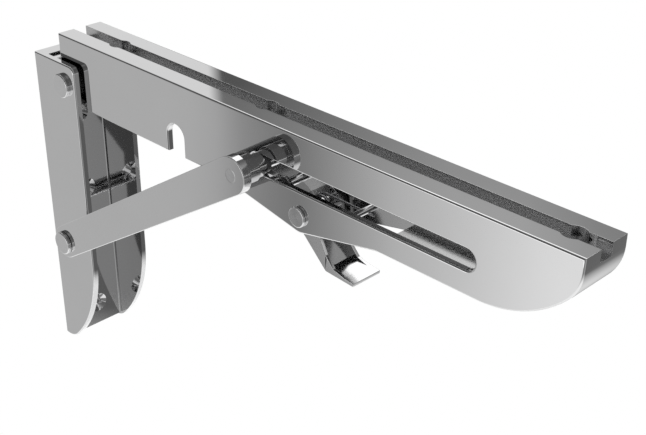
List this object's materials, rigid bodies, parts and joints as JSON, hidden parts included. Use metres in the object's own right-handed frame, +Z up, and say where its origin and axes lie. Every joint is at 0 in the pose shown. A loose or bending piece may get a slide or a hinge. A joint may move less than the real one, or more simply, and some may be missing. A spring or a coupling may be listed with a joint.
{
  "type": "folding bracket",
  "caption": "Folding steel shelf bracket: screwed wall arm, hinged channel arm with a long slot, twin braces on a sliding axle, and a sprung latch lever.",
  "frame": {"origin": "on the wall face, midway between the outer two wall screws", "axes": "+X out from the wall along the shelf arm, +Z up, Y across the bracket"},
  "size_m": [0.317, 0.0621, 0.1782],
  "materials": {
    "sheet_steel": "mirror-polished stainless steel",
    "pin_steel": "polished turned stainless steel",
    "bearing_plastic": "moulded acetal",
    "spring_wire": "drawn spring wire"
  },
  "bodies": {
    "wall_arm": {"wall_channel": "sheet_steel", "hinge_pin": "pin_steel", "hinge_pin_ring": "pin_steel", "hinge_washer_near": "bearing_plastic", "hinge_washer_far": "bearing_plastic", "brace_pin": "pin_steel", "brace_pin_ring": "pin_steel", "brace_pin_tube": "pin_steel", "brace_spacer_near": "pin_steel", "brace_spacer_far": "pin_steel"},
    "arm": {"arm_channel": "sheet_steel", "hinge_sleeve": "pin_steel", "latch_pin": "pin_steel", "latch_pin_ring": "pin_steel", "latch_washer_near": "bearing_plastic", "latch_washer_far": "bearing_plastic", "spring_bar": "pin_steel"},
    "brace": {"brace_near": "sheet_steel", "brace_far": "sheet_steel", "brace_collar_near": "pin_steel", "brace_collar_far": "pin_steel", "brace_stud_near": "pin_steel", "brace_stud_far": "pin_steel"},
    "axle": {"slide_axle": "pin_steel", "slide_roller_near": "bearing_plastic", "slide_roller_far": "bearing_plastic", "axle_collar_near": "pin_steel", "axle_collar_far": "pin_steel"},
    "latch": {"latch_lever": "sheet_steel", "latch_catch": "pin_steel", "latch_sleeve": "pin_steel", "latch_spring": "spring_wire"}
  },
  "joints": [
    {"name": "arm_fold", "type": "hinge", "parent": "wall_arm", "child": "arm", "pos_m": [0.0234, 0, 0.082], "axis": [0, 1, 0], "range_deg": [0, 86]},
    {"name": "brace_swing", "type": "hinge", "parent": "wall_arm", "child": "brace", "pos_m": [0.028, 0, 0.0008], "axis": [0, 1, 0], "range_deg": [0, 118]},
    {"name": "axle_slide", "type": "slide", "parent": "arm", "child": "axle", "axis": [1, 0, 0], "range_m": [0, 0.105]},
    {"name": "latch_release", "type": "hinge", "parent": "arm", "child": "latch", "pos_m": [0.1835, 0, 0.0697], "axis": [0, 1, 0], "range_deg": [-16, 10], "stiffness_Nm_per_rad": 0.12, "deforming": ["latch_spring"]}
  ],
  "couplings": [
    {"joint": "brace_swing", "follows": "arm_fold", "ratio": 1.3603},
    {"joint": "axle_slide", "follows": "arm_fold", "m_per_rad": 0.067529}
  ]
}
